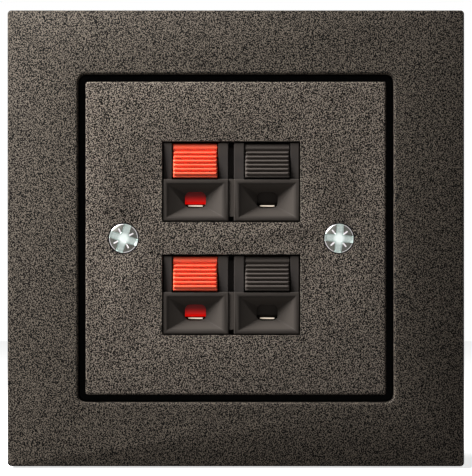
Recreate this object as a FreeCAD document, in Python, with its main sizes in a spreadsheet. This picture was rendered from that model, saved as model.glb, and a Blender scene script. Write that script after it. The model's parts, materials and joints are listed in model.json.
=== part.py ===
import FreeCAD, Part
import os
import re
import Sketcher

# A flush wall plate with two pairs of spring-lever speaker terminals. X runs to the right, Z up and
# Y into the wall. The origin is the centre of the wall-box screws, on the wall's face, so the front
# of the plate is at negative Y. Depths are counted from the wall's face towards the viewer.

# Driving sizes, in millimetres and degrees
sizes = {
    # cover frame
    "cover_side": 7.0,
    "cover_end": 6.95,
    "cover_rim_depth": 8.3,
    "cover_rise": 1.2,
    "cover_corner": 0.7,
    "cover_wall": 2.0,
    "cover_face": 1.9,
    "cover_skirt": 1.6,
    "cover_edge_round": 0.4,
    "cover_inner_chamfer": 0.3,
    "cover_face_dip": 0.02,
    "cover_land": 0.6,
    "cover_shift": 0.85,
    "opening_corner": 1.5,
    "gap_round_plate": 1.4,
    "ledge_thickness": 1.4,
    "ledge_lip": 0.8,
    # centre plate
    "plate_height": 58.1,
    "plate_corner": 0.5,
    "plate_edge_round": 0.4,
    "plate_depth": 3.9,
    "plate_face": 2.2,
    "plate_skirt": 1.6,
    "cutout_gap": 0.2,
    # support frame
    "box_screw_pitch": 60.0,
    "box_slot_radius": 1.75,
    "box_slot_length": 7.5,
    "slot_margin": 5.5,
    "slot_bar": 5.0,
    "support_corner": 4.0,
    "support_thickness": 1.0,
    "support_opening_corner": 6.0,
    "tab_height": 9.0,
    "tab_reach": 3.2,
    "collar_radius": 2.5,
    "collar_length": 1.2,
    # plate screws
    "screw_side": 5.8,
    "screw_radius": 1.5,
    "screw_length": 12.0,
    "screw_head_radius": 2.8,
    "screw_head_dome": 0.6,
    "screw_play": 0.2,
    "thread_play": 0.05,
    "recess_width": 0.7,
    "recess_span": 3.9,
    "recess_depth": 1.6,
    "screw_boss_radius": 3.4,
    "screw_boss_length": 3.6,
    "screw_boss_clear": 1.25,
    # terminal housing
    "terminal_pitch": 21.0,
    "nose_inset": 0.2,
    "flange_side": 1.55,
    "flange_end": 1.0,
    "flange_thickness": 1.5,
    "flange_corner": 1.0,
    "ear_side": 3.65,
    "ear_radius": 3.2,
    "case_end": 0.6,
    "case_depth": 8.2,
    "case_floor": 1.0,
    "groove_width": 1.0,
    "groove_depth": 0.45,
    "notch_height": 0.8,
    "notch_depth": 3.4,
    "block_depth": 3.3,
    "recess_top_depth": 0.45,
    "recess_low_depth": 1.05,
    "funnel_width": 10.6,
    "funnel_height": 6.3,
    "funnel_rim_side": 0.65,
    "funnel_rim_groove": 0.9,
    "funnel_rim_low": 0.7,
    "funnel_rim_top": 0.85,
    "funnel_depth": 2.5,
    "funnel_floor_width": 3.3,
    "funnel_floor_height": 2.3,
    "entry_width": 3.9,
    "entry_height": 3.0,
    "entry_lift": 0.1,
    "entry_corner": 1.0,
    # rear board
    "board_thickness": 1.2,
    "board_inset": 0.4,
    "stake_radius": 0.8,
    "stake_pitch": 8.0,
    "stake_stand": 0.4,
    "stake_play": 0.05,
    # fixing screws
    "boss_radius": 1.9,
    "boss_play": 0.1,
    "fixing_radius": 0.95,
    "fixing_length": 3.0,
    "fixing_head_radius": 2.4,
    "fixing_head_height": 1.4,
    # levers
    "pivot_depth": 2.4,
    "trunnion_radius": 1.0,
    "trunnion_length": 0.9,
    "running_play": 0.05,
    "end_play": 0.1,
    "knuckle_radius": 1.5,
    "button_inset": 1.2,
    "button_play": 0.15,
    "button_lean": 8.0,
    "button_front": 1.9,
    "button_toe": 0.36,
    "toe_reach": 0.45,
    "heel_rise": 0.2,
    "button_wall": 1.3,
    "button_side": 1.0,
    "band_length": 0.76,
    "ridge_height": 0.32,
    "ridge_base": 0.62,
    "ridge_crest": 0.3,
    "ridge_pitch": 0.775,
    "ridge_root": 0.05,
    "sweep_radius": 5.3,
    "sweep_play": 0.15,
    "sweep_dip": 0.25,
    "button_rim": 0.2,
    "slot_break": 0.1,
    "knuckle_web": 0.2,
    "shelf_thickness": 1.3,
    "tongue_width": 5.0,
    "tongue_thickness": 1.4,
    "tongue_play": 0.25,
    # contacts
    "contact_width": 2.75,
    "contact_thickness": 0.32,
    "contact_show": 0.55,
    "contact_slope": 13.0,
    "contact_reach": 4.4,
    "contact_play": 0.05,
    "tip_gap": 0.15,
    "tag_bend": 0.35,
    "tag_skew": 0.19,
    "tag_clear": 0.28,
    "tag_stand": 5.0,
    "tag_eye_length": 2.2,
    "tag_eye_width": 1.2,
    # springs
    "spring_width": 5.4,
    "spring_thickness": 0.25,
    "spring_bend": 2.0,
    "spring_top": 4.6,
    "spring_low": 0.6,
    "spring_rise": 1.2,
    "spring_play": 0.1,
    # how far a cut runs past the face that it opens
    "overcut": 1.0,
}

# Sizes that follow from the driving ones
derived = {
    "pole_pitch": "funnel_width + groove_width + 2 * funnel_rim_groove",
    "nose_width": "pole_pitch + funnel_width + 2 * funnel_rim_side",
    "lower_half": "funnel_rim_low + funnel_height + funnel_rim_top",
    "upper_half": "sweep_radius - sweep_dip + knuckle_radius + button_rim",
    "nose_height": "lower_half + upper_half",
    "block_top": "lower_half - nose_height / 2",
    "funnel_drop": "nose_height / 2 - funnel_rim_low - funnel_height / 2",
    "entry_drop": "funnel_drop - entry_lift",
    "flange_width": "nose_width + 2 * flange_side",
    "flange_height": "nose_height + 2 * flange_end",
    "ear_pitch": "nose_width + 2 * ear_side",
    "case_height": "nose_height + 2 * case_end",
    "screw_pitch": "flange_width + 2 * screw_side",
    "screw_inset": "screw_boss_radius + screw_boss_clear + ledge_lip + plate_skirt + cover_shift",
    "plate_width": "screw_pitch + 2 * screw_inset",
    "support_width": "box_screw_pitch + 2 * slot_margin",
    "support_opening": "box_screw_pitch - 2 * slot_bar",
    "cover_width": "support_width + 2 * cover_side",
    "cover_height": "support_width + 2 * cover_end",
    "front": "cover_rim_depth + cover_rise",
    "opening_width": "plate_width + 2 * gap_round_plate",
    "opening_height": "plate_height + 2 * gap_round_plate",
    "ledge_width": "plate_width - 2 * plate_skirt - 2 * ledge_lip",
    "ledge_height": "plate_height - 2 * plate_skirt - 2 * ledge_lip",
    "seat": "front - plate_depth",
    "plate_back": "front - plate_face",
    "nose_front": "front - nose_inset",
    "cutout_width": "nose_width + 2 * cutout_gap",
    "cutout_height": "nose_height + 2 * cutout_gap",
    "flange_back": "plate_back - flange_thickness",
    "case_back": "flange_back - case_depth",
    "board_back": "case_back - board_thickness",
    "block_back": "nose_front - block_depth",
    "pivot": "nose_front - pivot_depth",
    "pivot_height": "block_top + sweep_radius - sweep_dip",
    "button_width": "funnel_width - 2 * button_inset",
    "button_drop": "knuckle_radius + sqrt(sweep_radius ^ 2 - (button_front + toe_reach) ^ 2)",
    "button_length": "(button_drop - button_toe) / cos(button_lean)",
    "first_ridge": "band_length + 2 * ridge_height",
    "chamber_width": "button_width + 2 * button_play",
    "contact_top": "entry_drop + entry_height / 2 - contact_show",
    "tip_drop": "contact_top - tip_gap",
    "tag_drop": "case_height / 2 - case_floor - tag_clear - contact_thickness",
}


def spell(text):
    # writes an expression of named sizes with the sheet's own cells
    def swap(found):
        word = found.group(0)
        if word in derived:
            return "(" + spell(derived[word]) + ")"
        return "Sizes." + word if word in sizes else word

    return re.sub(r"[a-z][a-z0-9_]*", swap, text)


def size(text):
    # the number that an expression gives now
    found = sheet.evalExpression(spell(text))
    return float(getattr(found, "Value", found))


# Sketches

def sketchOn(body, plane, name, offset="0"):
    sketch = body.newObject("Sketcher::SketchObject", name)
    origin = [part for part in body.Origin.OriginFeatures if part.Role == plane]
    sketch.AttachmentSupport = [(origin[0], "")]
    sketch.MapMode = "FlatFace"
    sketch.setExpression("AttachmentOffset.Base.z", spell(offset))
    return sketch


def bindValue(sketch, kind, where, text):
    # one dimension of a sketch, tied to its expression
    index = sketch.addConstraint(Sketcher.Constraint(kind, *where, size(text)))
    sketch.setExpression(f"Constraints[{index}]", spell(text))


def endOf(sketch, index, point):
    # which end of an edge lies at a point: 1 for its start, 2 for its end
    start = sketch.getPoint(index, 1)
    end = sketch.getPoint(index, 2)
    return 1 if start.distanceToPoint(point) < end.distanceToPoint(point) else 2


def drawOutline(sketch, corners):
    # A closed outline. Each corner is (across, up) as expressions; a third and fourth entry make the
    # edge that leaves it an arc of that radius, with its centre on the left (1) or right (-1).
    points = [FreeCAD.Vector(size(c[0]), size(c[1]), 0) for c in corners]
    edges = []
    for number, corner in enumerate(corners):
        a = points[number]
        b = points[(number + 1) % len(points)]
        edge = Part.LineSegment(a, b)
        if len(corner) == 4:
            radius = size(corner[2])
            left = FreeCAD.Vector(a.y - b.y, b.x - a.x, 0).normalize() * corner[3]
            rise = max(radius ** 2 - a.distanceToPoint(b) ** 2 / 4, 0) ** 0.5
            middle = (a + b) / 2 + left * (rise - radius)
            edge = Part.Arc(a, middle, b)
        edges.append(sketch.addGeometry(edge, False))
        if len(corner) == 4 and rise > 0.01:
            bindValue(sketch, "Radius", (edges[-1],), corner[2])
        elif len(corner) == 4 and abs(a.x - b.x) < 0.01:
            bindValue(sketch, "DistanceX", (-1, 1, edges[-1], 3), corner[0])
        elif len(corner) == 4:
            bindValue(sketch, "DistanceY", (-1, 1, edges[-1], 3), corner[1])
    for number, corner in enumerate(corners):
        here, before = edges[number], edges[number - 1]
        start = endOf(sketch, here, points[number])
        end = endOf(sketch, before, points[number])
        sketch.addConstraint(Sketcher.Constraint("Coincident", before, end, here, start))
        bindValue(sketch, "DistanceX", (-1, 1, here, start), corner[0])
        bindValue(sketch, "DistanceY", (-1, 1, here, start), corner[1])


def drawCircle(sketch, across, up, radius):
    centre = FreeCAD.Vector(size(across), size(up), 0)
    circle = Part.Circle(centre, FreeCAD.Vector(0, 0, 1), size(radius))
    index = sketch.addGeometry(circle, False)
    bindValue(sketch, "Radius", (index,), radius)
    bindValue(sketch, "DistanceX", (-1, 1, index, 3), across)
    bindValue(sketch, "DistanceY", (-1, 1, index, 3), up)


def roundedBox(across, up, width, height, radius=None):
    # the corners of a rectangle about a centre, with round corners where a radius is given
    w = f"({width}) / 2"
    h = f"({height}) / 2"
    signs = [(-1, -1), (1, -1), (1, 1), (-1, 1)]
    if radius is None:
        return [(f"{across} + {x} * {w}", f"{up} + {y} * {h}") for x, y in signs]
    corners = []
    for x, y in signs:
        onSide = (f"{across} + {x} * {w}", f"{up} + {y} * ({h} - {radius})")
        onEnd = (f"{across} + {x} * ({w} - {radius})", f"{up} + {y} * {h}")
        first, second = (onSide, onEnd) if x == y else (onEnd, onSide)
        corners += [first + (radius, 1), second]
    return corners


def stadium(across, up, length, radius, upright=False):
    # a slot with round ends
    reach = f"(({length}) / 2 - {radius})"
    if upright:
        return [
            (f"{across} + {radius}", f"{up} - {reach}"),
            (f"{across} + {radius}", f"{up} + {reach}", radius, 1),
            (f"{across} - {radius}", f"{up} + {reach}"),
            (f"{across} - {radius}", f"{up} - {reach}", radius, 1),
        ]
    return [
        (f"{across} - {reach}", f"{up} - {radius}"),
        (f"{across} + {reach}", f"{up} - {radius}", radius, 1),
        (f"{across} + {reach}", f"{up} + {radius}"),
        (f"{across} - {reach}", f"{up} + {radius}", radius, 1),
    ]


# Features

def newBody(label):
    body = doc.addObject("PartDesign::Body", label)
    body.Label = label
    return body


def place(body, x="0", y="0", z="0"):
    for axis, text in (("x", x), ("y", y), ("z", z)):
        body.setExpression(f"Placement.Base.{axis}", spell(text))


def extrude(body, kind, name, sketch, length, reverse=False, both=False):
    # A pad or a pocket. A pad runs along the sketch's normal and a pocket against it.
    before = body.Shape.Volume if body.Tip else 0
    feature = body.newObject("PartDesign::" + kind, name)
    feature.Profile = sketch
    feature.setExpression("Length", spell(length))
    feature.Reversed = reverse
    feature.SideType = "Symmetric" if both else "One side"
    doc.recompute()
    grown = feature.Shape.Volume - before
    if grown == 0 or (grown > 0) != (kind == "Pad"):
        raise ValueError(f"{body.Label} {name} has no effect")
    return feature


def pad(body, name, sketch, length, reverse=False, both=False):
    return extrude(body, "Pad", name, sketch, length, reverse, both)


def pocket(body, name, sketch, length, reverse=False, both=False):
    return extrude(body, "Pocket", name, sketch, length, reverse, both)


def taperedCut(body, name, front, back, mouth, throat):
    # A four-sided funnel cut. The mouth and the throat are (across, up, width, height).
    before = body.Shape.Volume
    feature = body.newObject("PartDesign::SubtractiveWedge", name)
    for end, (across, up, width, height) in (("", mouth), ("2", throat)):
        feature.setExpression(f"X{end}min", spell(f"{across} - ({width}) / 2"))
        feature.setExpression(f"X{end}max", spell(f"{across} + ({width}) / 2"))
        feature.setExpression(f"Z{end}min", spell(f"{up} - ({height}) / 2"))
        feature.setExpression(f"Z{end}max", spell(f"{up} + ({height}) / 2"))
    feature.setExpression("Ymin", spell(f"-({front})"))
    feature.setExpression("Ymax", spell(f"-({back})"))
    doc.recompute()
    if feature.Shape.Volume >= before:
        raise ValueError(f"{body.Label} {name} has no effect")
    return feature


def dress(body, kind, name, wanted, amount, prop):
    # a fillet or chamfer on the edges that a test picks from the body as it stands
    tip = body.Tip
    names = [f"Edge{n + 1}" for n, edge in enumerate(tip.Shape.Edges) if wanted(edge)]
    feature = body.newObject("PartDesign::" + kind, name)
    feature.Base = (tip, names)
    feature.setExpression(prop, spell(amount))
    doc.recompute()
    return feature


def edgesOf(depth, width, height):
    # picks the edges of one rectangular outline by its depth from the wall and its size
    near = 0.01
    level, halfWidth, halfHeight = size(depth), size(width) / 2, size(height) / 2

    def test(edge):
        box = edge.BoundBox
        flat = abs(box.YMin + level) < near and abs(box.YMax + level) < near
        across = max(abs(box.XMin), abs(box.XMax)) - halfWidth
        up = max(abs(box.ZMin), abs(box.ZMax)) - halfHeight
        return flat and max(across, up) < near and max(across, up) > -near

    return test


# Cover frame: a moulded ring with a sloping face, open behind, and a ledge for the plate

def makeCoverFrame():
    body = newBody("cover_frame")
    place(body, x="cover_shift")
    outer = roundedBox("0", "0", "cover_width", "cover_height", "cover_corner")
    opening = roundedBox("0", "0", "opening_width", "opening_height", "opening_corner")

    rim = sketchOn(body, "XZ_Plane", "rim")
    drawOutline(rim, outer)
    pad(body, "rim_pad", rim, "cover_rim_depth")
    outside = edgesOf("cover_rim_depth", "cover_width", "cover_height")
    dress(body, "Fillet", "outer_round", outside, "cover_edge_round", "Radius")

    # the face rises from the rim to a narrow land round the opening: two sloping cuts, each
    # sketched across the ring, leave a hipped form
    faceWidth = "cover_width - 2 * cover_edge_round"
    faceHeight = "cover_height - 2 * cover_edge_round"
    face = sketchOn(body, "XZ_Plane", "face", "cover_rim_depth")
    drawOutline(face, roundedBox("0", "0", faceWidth, faceHeight))
    pad(body, "face_pad", face, "cover_rise")
    foot = "(-cover_rim_depth + cover_face_dip)"
    for name, plane, outerSize, innerSize, span in (
        ("side_slopes", "XY_Plane", faceWidth, "opening_width", "cover_height"),
        ("end_slopes", "YZ_Plane", faceHeight, "opening_height", "cover_width"),
    ):
        slopes = sketchOn(body, plane, name)
        start = f"(({outerSize}) / 2)"
        land = f"({innerSize} / 2 + cover_land)"
        fall = f"(overcut * (cover_rise + cover_face_dip) / ({start} - {land}))"
        for way in (-1, 1):
            corners = [
                (f"{way} * {land}", "-front"),
                (f"{way} * ({start} + overcut)", f"{foot} + {fall}"),
                (f"{way} * ({start} + overcut)", "-front - overcut"),
                (f"{way} * {land}", "-front - overcut"),
            ]
            if plane == "YZ_Plane":
                corners = [(up, across) for across, up in corners]
            drawOutline(slopes, corners)
        pocket(body, name + "_pocket", slopes, f"{span} + 2 * overcut", both=True)

    hole = sketchOn(body, "XZ_Plane", "opening", "front")
    drawOutline(hole, opening)
    pocket(body, "opening_pocket", hole, "plate_depth")
    inner = sketchOn(body, "XZ_Plane", "ledge_opening", "front")
    drawOutline(inner, roundedBox("0", "0", "ledge_width", "ledge_height", "opening_corner"))
    pocket(body, "ledge_pocket", inner, "front")
    under = sketchOn(body, "XZ_Plane", "under_ledge")
    drawOutline(under, opening)
    pocket(body, "under_ledge_pocket", under, "seat - ledge_thickness", reverse=True)

    skirt = sketchOn(body, "XZ_Plane", "skirt_end")
    skirtWidth = "opening_width + 2 * cover_skirt"
    skirtHeight = "opening_height + 2 * cover_skirt"
    skirtCorner = "(opening_corner + cover_skirt)"
    drawOutline(skirt, roundedBox("0", "0", skirtWidth, skirtHeight, skirtCorner))
    pocket(body, "skirt_end_pocket", skirt, "support_thickness", reverse=True)

    channel = sketchOn(body, "XZ_Plane", "channel")
    channelWidth = "cover_width - 2 * cover_wall"
    channelHeight = "cover_height - 2 * cover_wall"
    drawOutline(channel, roundedBox("0", "0", channelWidth, channelHeight))
    drawOutline(channel, roundedBox("0", "0", skirtWidth, skirtHeight, skirtCorner))
    pocket(body, "channel_pocket", channel, "cover_rim_depth - cover_face", reverse=True)

    inside = edgesOf("front", "opening_width", "opening_height")
    dress(body, "Chamfer", "inner_chamfer", inside, "cover_inner_chamfer", "Size")


# Centre plate: a shallow moulded tray, face outwards, that the two screws pull onto the ledge

def makeCentrePlate():
    body = newBody("centre_plate")
    place(body, x="cover_shift")
    middle = "(-cover_shift)"
    block = sketchOn(body, "XZ_Plane", "block", "seat")
    drawOutline(block, roundedBox("0", "0", "plate_width", "plate_height", "plate_corner"))
    pad(body, "block_pad", block, "plate_depth")
    tray = sketchOn(body, "XZ_Plane", "tray", "seat")
    trayWidth = "plate_width - 2 * plate_skirt"
    trayHeight = "plate_height - 2 * plate_skirt"
    drawOutline(tray, roundedBox("0", "0", trayWidth, trayHeight))
    pocket(body, "tray_pocket", tray, "plate_depth - plate_face", reverse=True)

    bosses = sketchOn(body, "XZ_Plane", "screw_bosses", "plate_back")
    for side in (-1, 1):
        drawCircle(bosses, f"{middle} + {side} * screw_pitch / 2", "0", "screw_boss_radius")
    pad(body, "screw_boss_pad", bosses, "screw_boss_length", reverse=True)
    pins = sketchOn(body, "XZ_Plane", "fixing_bosses", "plate_back")
    pilots = sketchOn(body, "XZ_Plane", "pilots", "flange_back")
    for side in (-1, 1):
        for level in (-1, 1):
            across = f"{middle} + {side} * ear_pitch / 2"
            up = f"{level} * terminal_pitch / 2"
            drawCircle(pins, across, up, "boss_radius")
            drawCircle(pilots, across, up, "fixing_radius + thread_play")
    pad(body, "fixing_boss_pad", pins, "flange_thickness - thread_play", reverse=True)
    pocket(body, "pilot_pocket", pilots, "fixing_length + thread_play", reverse=True)

    windows = sketchOn(body, "XZ_Plane", "windows", "front")
    for level in (-1, 1):
        up = f"{level} * terminal_pitch / 2"
        drawOutline(windows, roundedBox(middle, up, "cutout_width", "cutout_height"))
    pocket(body, "window_pocket", windows, "plate_face")

    around = edgesOf("front", "plate_width", "plate_height")
    dress(body, "Fillet", "edge_round", around, "plate_edge_round", "Radius")

    holes = sketchOn(body, "XZ_Plane", "screw_holes", "front")
    for side in (-1, 1):
        across = f"{middle} + {side} * screw_pitch / 2"
        drawCircle(holes, across, "0", "screw_radius + screw_play")
    hole = body.newObject("PartDesign::Hole", "countersinks")
    hole.Profile = holes
    doc.recompute()
    hole.ThreadType = "None"
    hole.DepthType = "ThroughAll"
    hole.setExpression("Diameter", spell("2 * (screw_radius + screw_play)"))
    hole.HoleCutType = "Countersink"
    hole.HoleCutCustomValues = True
    hole.setExpression("HoleCutDiameter", spell("2 * (screw_head_radius + thread_play)"))
    hole.HoleCutCountersinkAngle = 90
    doc.recompute()


# Support frame: stamped sheet with slots for the wall box and tapped tabs for the plate's screws

def makeSupportFrame():
    body = newBody("support_frame")
    half = "support_opening / 2"
    tip = "(screw_pitch / 2 - tab_reach)"
    tab = "tab_height / 2"
    sheetMetal = sketchOn(body, "XZ_Plane", "blank")
    outer = roundedBox("0", "0", "support_width", "support_width", "support_corner")
    drawOutline(sheetMetal, outer)
    pad(body, "blank_pad", sheetMetal, "support_thickness")

    window = sketchOn(body, "XZ_Plane", "window")
    corner = "support_opening_corner"
    straight = f"({half} - {corner})"
    drawOutline(window, [
        (f"-{straight}", f"-{half}"),
        (straight, f"-{half}", corner, 1),
        (half, f"-{straight}"),
        (half, f"-{tab}"),
        (tip, f"-{tab}"),
        (tip, tab),
        (half, tab),
        (half, straight, corner, 1),
        (straight, half),
        (f"-{straight}", half, corner, 1),
        (f"-{half}", straight),
        (f"-{half}", tab),
        (f"-{tip}", tab),
        (f"-{tip}", f"-{tab}"),
        (f"-{half}", f"-{tab}"),
        (f"-{half}", f"-{straight}", corner, 1),
    ])
    pocket(body, "window_pocket", window, "support_thickness", reverse=True)

    collars = sketchOn(body, "XZ_Plane", "collars")
    for side in (-1, 1):
        drawCircle(collars, f"{side} * screw_pitch / 2", "0", "collar_radius")
    pad(body, "collar_pad", collars, "collar_length", reverse=True)

    holes = sketchOn(body, "XZ_Plane", "tapped_holes", "support_thickness")
    for side in (-1, 1):
        drawCircle(holes, f"{side} * screw_pitch / 2", "0", "screw_radius + thread_play")
    pocket(body, "tapped_hole_pocket", holes, "support_thickness + collar_length")

    slots = sketchOn(body, "XZ_Plane", "box_slots", "support_thickness")
    for side in (-1, 1):
        away = f"{side} * box_screw_pitch / 2"
        drawOutline(slots, stadium(away, "0", "box_slot_length", "box_slot_radius"))
        drawOutline(slots, stadium("0", away, "box_slot_length", "box_slot_radius", upright=True))
    pocket(body, "box_slot_pocket", slots, "support_thickness")


# Plate screw: raised countersunk head with a cross recess, axis along Y

def makePlateScrew(label, side):
    body = newBody(label)
    place(body, x=f"{side} * screw_pitch / 2", y="-front")
    turned = sketchOn(body, "XY_Plane", "turned")
    cone = "(screw_head_radius - screw_radius)"
    crown = "((screw_head_radius ^ 2 + screw_head_dome ^ 2) / (2 * screw_head_dome))"
    end = "(screw_length - screw_head_dome)"
    drawOutline(turned, [
        ("0", "-screw_head_dome", crown, 1),
        ("screw_head_radius", "0"),
        ("screw_radius", cone),
        ("screw_radius", f"{end} - screw_radius / 2"),
        ("screw_radius / 2", end),
        ("0", end),
    ])
    feature = body.newObject("PartDesign::Revolution", "turned_body")
    feature.Profile = turned
    feature.ReferenceAxis = (turned, ["V_Axis"])
    feature.Angle = 360
    doc.recompute()
    cross = sketchOn(body, "XZ_Plane", "cross", "screw_head_dome")
    w = "recess_width / 2"
    s = "recess_span / 2"
    drawOutline(cross, [
        (f"-{w}", f"-{s}"), (w, f"-{s}"), (w, f"-{w}"), (s, f"-{w}"),
        (s, w), (w, w), (w, s), (f"-{w}", s),
        (f"-{w}", w), (f"-{s}", w), (f"-{s}", f"-{w}"), (f"-{w}", f"-{w}"),
    ])
    pocket(body, "cross_recess", cross, "recess_depth")


# Terminal housing: one moulding with two funnels, two lever slots and a flange behind the plate

def makeTerminalBody(label, level):
    body = newBody(label)
    place(body, z=f"{level} * terminal_pitch / 2")

    flange = sketchOn(body, "XZ_Plane", "flange", "flange_back")
    drawOutline(flange, roundedBox("0", "0", "flange_width", "flange_height", "flange_corner"))
    pad(body, "flange_pad", flange, "flange_thickness")
    ears = sketchOn(body, "XZ_Plane", "ears", "flange_back")
    drawOutline(ears, stadium("0", "0", "ear_pitch + 2 * ear_radius", "ear_radius"))
    pad(body, "ear_pad", ears, "flange_thickness")
    nose = sketchOn(body, "XZ_Plane", "nose", "flange_back")
    drawOutline(nose, roundedBox("0", "0", "nose_width", "nose_height"))
    pad(body, "nose_pad", nose, "nose_front - flange_back")
    case = sketchOn(body, "XZ_Plane", "case", "flange_back")
    drawOutline(case, roundedBox("0", "0", "nose_width", "case_height"))
    pad(body, "case_pad", case, "case_depth", reverse=True)

    # the stepped face: the half above the funnels slopes back to the ledge over them
    step = sketchOn(body, "YZ_Plane", "step")
    drawOutline(step, [
        ("-nose_front - overcut", "block_top"),
        ("-nose_front + recess_low_depth", "block_top"),
        ("-nose_front + recess_top_depth", "nose_height / 2 + overcut"),
        ("-nose_front - overcut", "nose_height / 2 + overcut"),
    ])
    pocket(body, "step_pocket", step, "nose_width + 2 * overcut", both=True)

    groove = sketchOn(body, "XZ_Plane", "groove", "nose_front")
    drawOutline(groove, roundedBox("0", "0", "groove_width", "nose_height"))
    pocket(body, "groove_pocket", groove, "groove_depth + recess_low_depth")
    notches = sketchOn(body, "XZ_Plane", "notches", "nose_front")
    for end in (-1, 1):
        up = f"{end} * (nose_height - notch_height) / 2"
        drawOutline(notches, roundedBox("0", up, "groove_width", "notch_height"))
    pocket(body, "notch_pocket", notches, "notch_depth")

    chamberTop = "(nose_height / 2 + slot_break)"
    chamberLow = "(-case_height / 2 + case_floor)"
    for side, hand in ((-1, "left"), (1, "right")):
        pole = f"({side} * pole_pitch / 2)"
        mouth = (pole, "-funnel_drop", "funnel_width", "funnel_height")
        throat = (pole, "-entry_drop", "funnel_floor_width", "funnel_floor_height")
        floor = "nose_front - funnel_depth"
        taperedCut(body, hand + "_funnel", "nose_front", floor, mouth, throat)
        entry = sketchOn(body, "XZ_Plane", hand + "_entry", "nose_front - overcut")
        entryBox = roundedBox(pole, "-entry_drop", "entry_width", "entry_height", "entry_corner")
        drawOutline(entry, entryBox)
        pocket(body, hand + "_entry_pocket", entry, "block_depth")

        chamber = sketchOn(body, "XZ_Plane", hand + "_chamber", "case_back")
        tall = f"({chamberTop} - {chamberLow})"
        midway = f"(({chamberTop} + {chamberLow}) / 2)"
        drawOutline(chamber, roundedBox(pole, midway, "chamber_width", tall))
        depth = "block_back - case_back"
        pocket(body, hand + "_chamber_pocket", chamber, depth, reverse=True)

        # the slot for the button, whose lower end follows the button's sweep about its pivot
        slot = sketchOn(body, "YZ_Plane", hand + "_button_slot", pole)
        reach = "(sweep_radius + sweep_play)"
        away = "(pivot_depth + overcut)"
        behind = "(block_depth - pivot_depth + slot_break)"
        drawOutline(slot, [
            (f"-pivot - {away}", chamberTop),
            (f"-pivot - {away}", f"pivot_height - sqrt({reach} ^ 2 - {away} ^ 2)", reach, 1),
            (f"-pivot + {behind}", f"pivot_height - sqrt({reach} ^ 2 - {behind} ^ 2)"),
            (f"-pivot + {behind}", chamberTop),
        ])
        pocket(body, hand + "_slot_pocket", slot, "chamber_width", both=True)

        # open-ended seats for the lever's trunnions
        seats = sketchOn(body, "YZ_Plane", hand + "_trunnion_seats", pole)
        seat = "(trunnion_radius + running_play)"
        drawOutline(seats, [
            ("-pivot", f"pivot_height + {seat}", seat, 1),
            ("-pivot", f"pivot_height - {seat}"),
            ("-case_back", f"pivot_height - {seat}"),
            ("-case_back", f"pivot_height + {seat}"),
        ])
        seatSpan = "button_width + 2 * trunnion_length + 2 * end_play"
        pocket(body, hand + "_seat_pocket", seats, seatSpan, both=True)

        # the ramp that carries the contact
        ramp = sketchOn(body, "YZ_Plane", hand + "_ramp", pole)
        start = "(-block_back)"
        end = "(contact_reach - block_back)"
        under = "(-contact_top - contact_thickness - contact_play)"
        drawOutline(ramp, [
            (start, chamberLow),
            (end, chamberLow),
            (end, f"{under} - contact_reach * tan(contact_slope)"),
            (start, under),
        ])
        pad(body, hand + "_ramp_pad", ramp, "contact_width", both=True)

    stakes = sketchOn(body, "XZ_Plane", "stakes", "case_back")
    for end in (-1, 1):
        drawCircle(stakes, "0", f"{end} * stake_pitch / 2", "stake_radius")
    pad(body, "stake_pad", stakes, "board_thickness + stake_stand", reverse=True)
    earHoles = sketchOn(body, "XZ_Plane", "ear_holes", "plate_back")
    for side in (-1, 1):
        drawCircle(earHoles, f"{side} * ear_pitch / 2", "0", "boss_radius + boss_play")
    pocket(body, "ear_hole_pocket", earHoles, "flange_thickness")


# Rear board: closes a housing from behind and lets the solder tags through

def makeRearBoard(label, level):
    body = newBody(label)
    place(body, z=f"{level} * terminal_pitch / 2")
    blank = sketchOn(body, "XZ_Plane", "blank", "board_back")
    width = "nose_width - 2 * board_inset"
    height = "case_height - 2 * board_inset"
    drawOutline(blank, roundedBox("0", "0", width, height, "board_inset"))
    pad(body, "blank_pad", blank, "board_thickness")
    holes = sketchOn(body, "XZ_Plane", "holes", "case_back")
    for side in (-1, 1):
        drawCircle(holes, "0", f"{side} * stake_pitch / 2", "stake_radius + stake_play")
        across = f"{side} * pole_pitch / 2"
        slotWidth = "contact_width + 2 * contact_play"
        slotHeight = "contact_thickness + 2 * contact_play"
        up = "-tag_drop - contact_thickness / 2"
        drawOutline(holes, roundedBox(across, up, slotWidth, slotHeight))
    pocket(body, "hole_pocket", holes, "board_thickness")


# Lever: ribbed button, knuckle with trunnions and the tongue behind the wire hole. Its own origin
# is the pivot, so its sketches count from there.

def onFace(along, inward):
    # a point of the button's face, counted down the face from its top and in from its crests
    across = f"-button_front - {along} * sin(button_lean) + {inward} * cos(button_lean)"
    up = f"knuckle_radius - {along} * cos(button_lean) - {inward} * sin(button_lean)"
    return across, up


def onSweep(across):
    # a point of the button's underside, round about the pivot
    return across, f"-sqrt(sweep_radius ^ 2 - ({across}) ^ 2)"


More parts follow.
